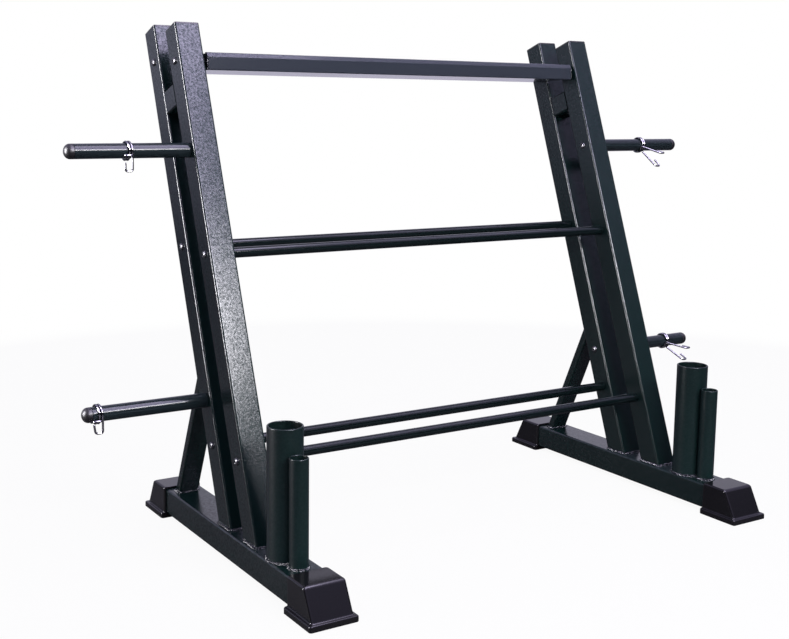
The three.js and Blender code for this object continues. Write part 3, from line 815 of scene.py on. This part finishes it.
def tray_bush(side, place):
    name = f"{side}_{place}_tray_bush"
    low, high = millimetre_box(name)
    outer = (high.z - low.z) / 2
    length = high.x - low.x
    profile = [(RAIL_BORE, 0)] + eased_side(outer, length) + [(RAIL_BORE, length)]
    points, faces = turned(profile, end_middle(name, -1), X_AXIS, SMALL_ROUND)
    make_piece(name + "_ring", points, faces, CAP_PLASTIC, [name])


def socket_radius(angle):
    """Distance from the middle of a hexagon socket to its wall at an angle."""
    sector = TAU / 6
    return SOCKET_FLATS / 2 / math.cos((angle + sector / 2) % sector - sector / 2)


def bolt(node_name, out):
    """Button head bolt along X, its head facing out, with a hexagon socket and a dished floor."""
    low, high = millimetre_box(node_name)
    seat = end_middle(node_name, out) - X_AXIS * out * HEAD_HEIGHT
    axis = X_AXIS * out
    over = axis.cross(Y_AXIS)
    shank = high.x - low.x - HEAD_HEIGHT

    def dome_height(radius):
        return HEAD_RIM + (HEAD_HEIGHT - HEAD_RIM) * math.sqrt(max(0, 1 - (radius / HEAD_RADIUS) ** 2))

    def ring(radius_at, height_at):
        made = []
        for i in range(SMALL_ROUND):
            angle = TAU * i / SMALL_ROUND
            radius = radius_at(angle)
            spot = (Y_AXIS * math.cos(angle) + over * math.sin(angle)) * radius
            made.append(seat + spot + axis * height_at(radius))
        return made

    rings = [ring(lambda a: SHANK_RADIUS, lambda r: -shank), ring(lambda a: SHANK_RADIUS, lambda r: 0)]
    rings += [ring(lambda a: HEAD_RADIUS, lambda r: 0), ring(lambda a: HEAD_RADIUS, lambda r: HEAD_RIM)]
    for step in range(1, HEAD_DOME_STEPS):
        turn = step / HEAD_DOME_STEPS * QUARTER * HEAD_DOME_SHARE
        rings.append(ring(lambda a: HEAD_RADIUS * math.cos(turn), dome_height))
    rings.append(ring(lambda a: socket_radius(a) + SOCKET_EDGE, dome_height))
    rings.append(ring(socket_radius, lambda r: dome_height(r) - SOCKET_EDGE))
    rings.append(ring(socket_radius, lambda r: HEAD_HEIGHT - SOCKET_DEPTH))
    points = [p for made in rings for p in made]
    faces = []
    for row in range(len(rings) - 1):
        faces += ring_faces(row * SMALL_ROUND, (row + 1) * SMALL_ROUND, SMALL_ROUND)
    end = len(points)
    points.append(seat - axis * shank)
    points.append(seat + axis * (HEAD_HEIGHT - SOCKET_DEPTH - SOCKET_DISH))
    last = (len(rings) - 1) * SMALL_ROUND
    for k in range(SMALL_ROUND):
        following = (k + 1) % SMALL_ROUND
        faces.append((following, k, end))
        faces.append((last + k, last + following, end + 1))
    make_piece(node_name + "_button", points, faces, FASTENER, [node_name])


# Tray

def lip_section(depth, inset):
    """Points (y, z) from the front flange's edge down the lip, along the floor and up the rear lip."""
    corners = [Vector(c) for c in (
        (TRAY_FLANGE, TRAY_LIP), (TRAY_SLANT_RUN, TRAY_LIP), (0, TRAY_LIP - TRAY_SLANT_RISE), (0, 0),
        (depth, 0))]
    ways = [(b - a).normalized() for a, b in zip(corners, corners[1:])]
    normals = [Vector((way.y, -way.x)) for way in ways]
    half = [corners[0] - normals[0] * inset]
    for corner, first, second in zip(corners[1:], normals, normals[1:]):
        centre = corner - (first + second) * TRAY_FOLD_RADIUS / (1 + first.dot(second))
        for step in range(FOLD_STEPS + 1):
            facing = first.lerp(second, step / FOLD_STEPS).normalized()
            half.append(centre + facing * (TRAY_FOLD_RADIUS - inset))
    return [(y, z) for y, z in half] + [(depth - y, z) for y, z in reversed(half)]


def tray():
    low, high = millimetre_box("top_tray")
    tip = TRAY_LIP * math.sin(TRAY_TILT)
    origin = Vector((0, low.y, 0))
    depth = (high.y - low.y - tip) / math.cos(TRAY_TILT)
    origin.z = high.z - TRAY_LIP * math.cos(TRAY_TILT)
    over = Vector((0, math.cos(TRAY_TILT), -math.sin(TRAY_TILT)))
    up = Vector((0, math.sin(TRAY_TILT), math.cos(TRAY_TILT)))

    def spot(x, y, z):
        return origin + X_AXIS * x + over * y + up * z

    outside = lip_section(depth, 0)
    inside = lip_section(depth, SHEET)
    n = len(outside)
    points = []
    for x in (low.x, high.x):
        points += [spot(x, y, z) for y, z in outside]
        points += [spot(x, y, z) for y, z in inside]
    faces = []
    for i in range(n - 1):
        faces.append((i, i + 1, 2 * n + i + 1, 2 * n + i))
        faces.append((n + i + 1, n + i, 3 * n + i, 3 * n + i + 1))
        faces.append((i + 1, i, n + i, n + i + 1))
        faces.append((2 * n + i, 2 * n + i + 1, 3 * n + i + 1, 3 * n + i))
    faces.append((n, 0, 2 * n, 3 * n))
    faces.append((n - 1, 2 * n - 1, 4 * n - 1, 3 * n - 1))
    make_piece("top_tray_sheet", points, faces, TRAY_COAT_PAINTED_LIGHTER, ["top_tray"])
    for side, out in SIDES.items():
        face = end_x("top_tray", out) - out * FIT_GAP / 3
        tray_end(side, out, face, inside, spot)
        for place, y in (("front", SEAM_INSET), ("rear", depth - SEAM_INSET)):
            tray_seam(f"{side}_{place}_tray_seam", face, out, y, spot)


def tray_end(side, out, face, inside, spot):
    """End plate inside the tray's section, with a weld nut behind each bolt."""
    points = []
    for x in (face, face - out * SHEET):
        points += [spot(x, y, z) for y, z in inside]
    faces = stacked_faces(2, len(inside))
    if out > 0:
        faces = flipped(faces)
    make_piece(f"{side}_tray_end_plate", points, faces, POWDER_COAT)
    for place in ("front", "rear"):
        centre = middle(f"{side}_{place}_tray_bush")
        start = Vector((face - out * (SHEET + NUT_HEIGHT), centre.y, centre.z))
        radius = NUT_FLATS / math.sqrt(3)
        profile = [(0, 0), (radius - NUT_EDGE, 0), (radius, NUT_EDGE_HEIGHT)]
        profile += [(radius, NUT_HEIGHT), (0, NUT_HEIGHT)]
        nut_points, nut_faces = turned(profile, start, X_AXIS * out, 6)
        make_piece(f"{side}_{place}_weld_nut", nut_points, nut_faces, POWDER_COAT)


def tray_seam(name, face, out, y, spot):
    """The uneven weld that closes a corner of the tray, up the edge between its lip and its end plate."""
    line = []
    for step in range(SEAM_STEPS + 1):
        z = SEAM_START + (TRAY_LIP - TRAY_SLANT_RISE - SEAM_TRIM) * step / SEAM_STEPS
        sway = sum(math.sin(step * rate + shift) * size for rate, shift, size in SEAM_SWAYS)
        line.append(spot(face + out * (SEAM_STAND + sway), y - sway * SEAM_SIDE_SHARE, z))
    points, faces = swept(line, SEAM_RADIUS, SEAM_SIDES)
    make_piece(name, points, faces, WELD_COAT)


# Weld beads

def resampled(path, spacing):
    """The same closed path with points at even, close spacing."""
    dense = []
    for a, b in zip(path, path[1:] + path[:1]):
        steps = max(1, round((b - a).length / spacing))
        dense += [a.lerp(b, i / steps) for i in range(steps)]
    return dense


def foot_bead(name, outline, origin):
    """A rippled fillet weld round a tube's outline, on the level surface that the tube stands on."""
    path = resampled([origin + X_AXIS * a + Y_AXIS * b for a, b in outline], BEAD_PITCH / BEAD_PITCH_STEPS)
    count = len(path)
    travelled = [0.0]
    for a, b in zip(path, path[1:] + path[:1]):
        travelled.append(travelled[-1] + (b - a).length)
    ripples = round(travelled[-1] / BEAD_PITCH)
    points = []
    for i, spot in enumerate(path):
        tangent = (path[(i + 1) % count] - path[i - 1]).normalized()
        outward = tangent.cross(Z_AXIS).normalized()
        phase = TAU * ripples * travelled[i] / travelled[-1]
        slow = sum(math.sin(TAU * waves * travelled[i] / travelled[-1] + shift) * share
                   for waves, shift, share in BEAD_SWELLS)
        points.append(spot - outward * FIT_GAP)
        for k in range(BEAD_ARC_STEPS + 1):
            turn = k / BEAD_ARC_STEPS * QUARTER
            lag = BEAD_LAG * math.sin(2 * turn)
            size = BEAD * (1 + slow + BEAD_RIPPLE * math.sin(phase - lag) * math.sin(2 * turn))
            flat = 1 - BEAD_HOLLOW * math.sin(2 * turn)
            points.append(spot + (outward * math.cos(turn) + Z_AXIS * math.sin(turn)) * size * flat)
    faces = []
    width = BEAD_ARC_STEPS + 2
    for i in range(count):
        a, b = i * width, (i + 1) % count * width
        for k in range(width):
            following = (k + 1) % width
            faces.append((a + k, b + k, b + following, a + following))
    make_piece(name, points, faces, WELD_COAT)


def side_beads(side):
    base_top = millimetre_box(f"{side}_base_tube")[1].z
    for place in ("front", "rear"):
        foot, size, _ = upright_frame(side, place)
        foot.z = base_top
        outline = rounded_loop(size, size / math.cos(LEAN), TUBE_CORNER)
        foot_bead(f"{side}_{place}_upright_weld", outline, foot)
    foot, width, along, _ = brace_frame(side)
    foot.z = base_top
    outline = rounded_loop(width, BRACE_DEPTH / along.z, TUBE_CORNER)
    foot_bead(f"{side}_brace_weld", outline, foot)
    for size_name in ("large", "small"):
        low, high = millimetre_box(f"{side}_{size_name}_bar_tube")
        radius = (high.x - low.x) / 2
        foot = foot_middle(f"{side}_{size_name}_bar_tube")
        foot.z = base_top
        turns = [TAU * i / BEAD_ROUND for i in range(BEAD_ROUND)]
        outline = [(radius * math.cos(turn), radius * math.sin(turn)) for turn in turns]
        foot_bead(f"{side}_{size_name}_bar_tube_weld", outline, foot)


# Spring collars

def collar_line(name, out):
    """The middle line of a collar's wire round the X axis, from its first tail to its last."""
    collar = COLLARS[name]
    first_angle, last_angle = collar["angles"]
    low, high = millimetre_box(f"{name}_horn")
    radius = ((high.z - low.z) / 2 + FIT_GAP + WIRE / 2) / math.cos(math.pi / CAD_COIL_STEPS)
    sweep = first_angle - last_angle
    width = WIRE_PITCH * sweep / 360

    def on_coil(angle):
        x = width * (0.5 - (first_angle - angle) / sweep)
        turn = math.radians(angle)
        return Vector((x, radius * math.cos(turn), radius * math.sin(turn)))

    def curve(a, b, c):
        return [a.lerp(b, t).lerp(b.lerp(c, t), t) for t in (i / BEND_STEPS for i in range(BEND_STEPS + 1))]

    def bend(start, corner, end):
        near = corner.lerp(start, WIRE_BEND / (start - corner).length)
        far = corner.lerp(end, WIRE_BEND / (end - corner).length)
        return curve(near, corner, far)

    def tail(angle, inwards, shares):
        forward, outward, drop = shares
        start = on_coil(angle)
        tangent = (start - on_coil(angle + inwards)).normalized()
        way = Vector((out * outward, -forward, -drop)) * TAIL
        turn = start + way
        knee = start + tangent * WIRE_BEND / 2
        far = turn + X_AXIS * out * HOOK_WIDTH
        back = (way.normalized() * -1 + X_AXIS * out * collar["splay"]).normalized()
        end = far + back * HOOK_RETURN * collar["hook"]
        leaving = curve(start, knee, knee.lerp(turn, WIRE_BEND / TAIL))[1:]
        return leaving + bend(knee, turn, far) + bend(turn, far, end) + [end]

    steps = round(sweep / 360 * COIL_STEPS)
    coil = [on_coil(first_angle - sweep * i / steps) for i in range(steps + 1)]
    return tail(first_angle, -1, collar["first"])[::-1] + coil + tail(last_angle, 1, collar["last"])


def spring_collar(name, side):
    out = SIDES[side]
    upright_x = end_x(f"{name}_horn", -out) - out * FIT_GAP
    tip = end_x(f"{name}_horn_cap", out)
    centre = end_middle(f"{name}_horn", out)
    centre.x = upright_x + (tip - upright_x) * COLLARS[name]["place"]
    line = [centre + p for p in collar_line(name, out)]
    points, faces = swept(line, WIRE / 2, WIRE_SIDES)
    make_piece(f"{name}_collar_wire", points, faces, CHROME, [f"{name}_spring_collar"], body=f"{name}_collar")


# The rack

for side_name, side_sign in SIDES.items():
    base_tube(side_name)
    for end_name in ("front", "rear"):
        moulded_foot(side_name, end_name)
        upright(side_name, end_name)
        upright_cap(side_name, end_name)
        tray_bush(side_name, end_name)
        for level_name in ("top", "middle", "low"):
            bolt(f"{side_name}_{end_name}_{level_name}_bolt", side_sign)
    upright_spacer(side_name)
    rear_brace(side_name)
    for tube_name in ("large", "small"):
        bar_tube(side_name, tube_name)
    for tier_name in ("upper", "lower"):
        horn(side_name, tier_name)
        horn_cap(side_name, tier_name)
        bolt(f"{side_name}_{tier_name}_horn_bolt", -side_sign)
        spring_collar(f"{side_name}_{tier_name}", side_name)
    side_beads(side_name)
for level_name in ("middle", "low"):
    for place_name in ("front", "rear"):
        rail(level_name, place_name)
tray()


# Floor, light and camera

def backdrop_group():
    """A mask of the ways in which the white backdrop stands, for a direction or a place on the floor."""
    group, given, out = new_group(
        "backdrop mask", [("Way", "NodeSocketVector", None)], [("Mask", "NodeSocketFloat")])
    way = node(group, "ShaderNodeVectorMath", {"operation": "NORMALIZE"}, _0=given.outputs["Way"]).outputs[0]
    facing = node(group, "ShaderNodeVectorMath", {"operation": "DOT_PRODUCT"}, _0=way,
                  _1=BACKDROP_WAY).outputs["Value"]
    ramp = node(group, "ShaderNodeMapRange", {"clamp": True}, Value=facing, From_Min=BACKDROP_EDGE[0],
                From_Max=BACKDROP_EDGE[1])
    group.links.new(joined(group, "POWER", ramp.outputs["Result"], BACKDROP_FALL), out.inputs["Mask"])
    return group


def floor():
    """A pale floor that keeps the shadow near the rack and fades to the white of the background."""
    mesh = bpy.data.meshes.new("floor")
    corners = [(x * FLOOR_REACH, y * FLOOR_REACH, 0) for x, y in ((-1, -1), (1, -1), (1, 1), (-1, 1))]
    mesh.from_pydata(corners, [], [(0, 1, 2, 3)])
    plane = bpy.data.objects.new("floor", mesh)
    bpy.context.scene.collection.objects.link(plane)
    material, tree, shader = start_material("pale floor")
    shader.inputs["Roughness"].default_value = FLOOR_ROUGHNESS
    place = node(tree, "ShaderNodeTexCoord").outputs["Object"]
    distance = node(tree, "ShaderNodeVectorMath", {"operation": "LENGTH"}, _0=place).outputs["Value"]
    fade = node(tree, "ShaderNodeMapRange", {"interpolation_type": "SMOOTHSTEP"}, Value=distance,
                From_Min=FLOOR_FADE[0], From_Max=FLOOR_FADE[1]).outputs["Result"]
    backdrop = node(tree, "ShaderNodeGroup", {"node_tree": BACKDROP_MASK}, Way=place).outputs["Mask"]
    rays = node(tree, "ShaderNodeLightPath").outputs
    seen = mixed(tree, rays["Is Camera Ray"], FLOOR_COLOUR, FLOOR_SEEN_COLOUR)
    tree.links.new(seen, shader.inputs["Base Color"])
    mirrored = joined(tree, "MAXIMUM", rays["Is Glossy Ray"], rays["Is Transmission Ray"])
    behind = joined(tree, "POWER", backdrop, FLOOR_BACKDROP_FALL)
    in_metal = joined(tree, "MULTIPLY", joined(tree, "MULTIPLY", fade, behind), mirrored)
    in_view = joined(tree, "MULTIPLY", joined(tree, "MAXIMUM", fade, FLOOR_LIFT), rays["Is Camera Ray"])
    pale = mixed(tree, rays["Is Camera Ray"], BACKDROP_COLOUR, WHITE)
    white = node(tree, "ShaderNodeEmission", None, Color=pale, Strength=1.0)
    blend = node(tree, "ShaderNodeMixShader", None, _0=joined(tree, "MAXIMUM", in_metal, in_view),
                 _1=shader.outputs[0], _2=white.outputs[0])
    tree.links.new(blend.outputs[0], tree.nodes["Material Output"].inputs["Surface"])
    mesh.materials.append(material)


def surroundings():
    """A white backdrop behind the rack, in a room that is dim elsewhere and paler overhead."""
    world = bpy.data.worlds.new("studio")
    world.use_nodes = True
    tree = world.node_tree
    background = tree.nodes["Background"]
    way = node(tree, "ShaderNodeTexCoord").outputs["Generated"]
    height = node(tree, "ShaderNodeSeparateXYZ", None, Vector=way).outputs["Z"]
    rise = node(tree, "ShaderNodeMapRange", {"interpolation_type": "SMOOTHSTEP"}, Value=height,
                From_Min=ROOM_RISE[0], From_Max=ROOM_RISE[1]).outputs["Result"]
    backdrop = node(tree, "ShaderNodeGroup", {"node_tree": BACKDROP_MASK}, Way=way).outputs["Mask"]
    room = mixed(tree, backdrop, mixed(tree, rise, ROOM_LOW, ROOM_HIGH), BACKDROP_COLOUR)
    rays = node(tree, "ShaderNodeLightPath").outputs
    tree.links.new(mixed(tree, rays["Is Camera Ray"], room, WHITE), background.inputs["Color"])
    mirrored = joined(tree, "MAXIMUM", rays["Is Glossy Ray"], rays["Is Transmission Ray"])
    seen = joined(tree, "MAXIMUM", rays["Is Camera Ray"], mirrored)
    tree.links.new(between(tree, seen, ROOM_LIGHT, 1.0), background.inputs["Strength"])
    bpy.context.scene.world = world


def softbox(name, place, target, size, glow, tint, mirrored=True):
    """A softbox of even brightness, which glossy surfaces mirror or not."""
    width, height = size
    light = bpy.data.lights.new(name, "AREA")
    light.shape = "RECTANGLE"
    light.size = width
    light.size_y = height
    light.energy = glow * math.pi * width * height
    light.color = tint
    lamp = bpy.data.objects.new(name, light)
    lamp.location = place
    lamp.rotation_euler = (Vector(target) - Vector(place)).to_track_quat("-Z", "Y").to_euler()
    lamp.visible_camera = False
    lamp.visible_glossy = mirrored
    bpy.context.scene.collection.objects.link(lamp)
    return lamp


def panel(name, place, target, size, glow, tint, spared=False):
    """A bright panel that is only mirrored and adds no light of its own."""
    lamp = softbox(name, place, target, size, glow, tint)
    lamp.visible_diffuse = False
    if spared:
        spare_tops(lamp)


def spare_tops(lamp):
    """Keeps a panel off the feet and base tubes, whose level tops would glare in views from behind."""
    spared = bpy.data.collections.new(lamp.name + " spares")
    for side_name in SIDES:
        for piece_name in ("front_foot_moulded", "rear_foot_moulded", "base_tube_section"):
            spared.objects.link(bpy.data.objects[f"{side_name}_{piece_name}"])
    for held in spared.collection_objects:
        held.light_linking.link_state = "EXCLUDE"
    lamp.light_linking.receiver_collection = spared


def camera():
    data = bpy.data.cameras.new("camera")
    data.sensor_width = 36.0
    data.lens = FOCAL_PIXELS * data.sensor_width / IMAGE_WIDTH
    data.shift_x = (IMAGE_WIDTH / 2 - CENTRE_PIXEL[0]) / IMAGE_WIDTH
    data.shift_y = (CENTRE_PIXEL[1] - IMAGE_HEIGHT / 2) / IMAGE_WIDTH
    forward = Vector((
        math.sin(CAMERA_TURN) * math.cos(CAMERA_TILT),
        math.cos(CAMERA_TURN) * math.cos(CAMERA_TILT),
        -math.sin(CAMERA_TILT),
    ))
    right = forward.cross(Z_AXIS).normalized()
    up = right.cross(forward)
    rolled_right = right * math.cos(CAMERA_ROLL) + up * math.sin(CAMERA_ROLL)
    rolled_up = up * math.cos(CAMERA_ROLL) - right * math.sin(CAMERA_ROLL)
    turn = Matrix((rolled_right, rolled_up, forward * -1)).transposed()
    made = bpy.data.objects.new("camera", data)
    made.matrix_world = Matrix.Translation(Vector(CAMERA_PLACE) * MM) @ turn.to_4x4()
    bpy.context.scene.collection.objects.link(made)
    bpy.context.scene.camera = made


BACKDROP_MASK = backdrop_group()
floor()
surroundings()
softbox("front softbox", (-0.1, -2.15, 1.58), (0, 0, 0.75), (1.4, 0.5), 14, CLEAR_TINT, mirrored=False)
panel("front panel", (-0.1, -2.1, 1.56), (0, 0, 0.75), (1.4, 0.46), 60, CLEAR_TINT, spared=True)
panel("upper front panel", (-0.1, -2.1, 2.16), (0, 0, 0.9), (1.4, 0.66), 20, LAVENDER_TINT, spared=True)
softbox("overhead softbox", (0, -0.2, 2.9), (0, 0, 0), (2.2, 1.6), 1.2, CLEAR_TINT)
panel("ceiling panel", (0.25, -1.05, 2.6), (0.25, -1.05, 0), (1.1, 1.9), 15, LAVENDER_TINT)
panel("right ceiling panel", (1.4, -0.5, 2.6), (1.4, -0.5, 0), (1.4, 2.2), 2.5, LAVENDER_TINT)
panel("left panel", (-2.8, 0.8, 1.15), (0, 0.8, 1.15), (0.7, 1.7), 85, CLEAR_TINT)
panel("rear panel", (-1.95, 3.6, 1.3), (-1.95, 0, 1.3), (0.9, 1.0), 0.45, BLUE_TINT)
panel("far rear panel", (-3.0, 3.6, 1.15), (-3.0, 0, 1.15), (1.2, 1.3), 1.1, BLUE_TINT)
panel("low rear panel", (-2.8, 3.5, 1.0), (-2.8, 0, 1.0), (2.2, 1.6), 0.28, BLUE_TINT)
camera()
bpy.context.scene.view_settings.view_transform = "Standard"
